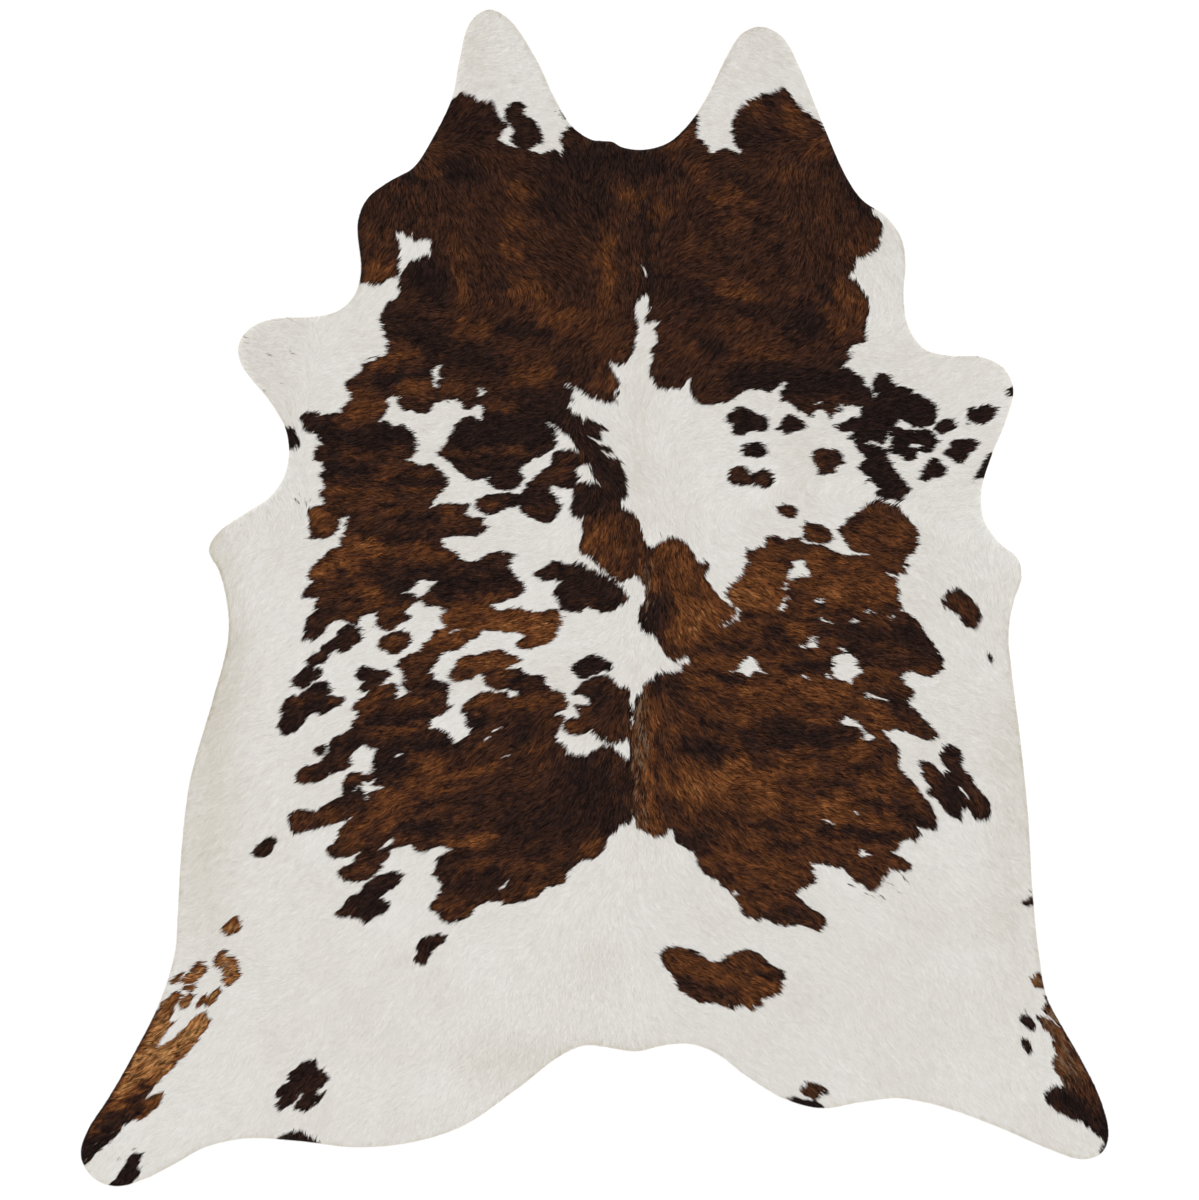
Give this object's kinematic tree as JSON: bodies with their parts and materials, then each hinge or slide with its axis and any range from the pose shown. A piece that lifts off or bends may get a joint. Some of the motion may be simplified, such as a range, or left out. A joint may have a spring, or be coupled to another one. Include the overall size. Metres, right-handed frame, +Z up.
{
  "type": "cowhide rug",
  "caption": "Whole brown and white hair-on cowhide laid flat as a floor rug, with neck lobes, shanks, hind legs and a tail stub in its cut outline.",
  "frame": {"origin": "middle of the box of the flat underside, at floor level", "axes": "+Y toward the neck end along the spine, +X to the right of the picture, +Z up out of the floor"},
  "size_m": [1.951, 2.2336, 0.0088],
  "materials": {
    "hide": "short glossy hair lying flat, brown and white"
  },
  "bodies": {
    "root": {"hide": "hide"}
  },
  "joints": []
}
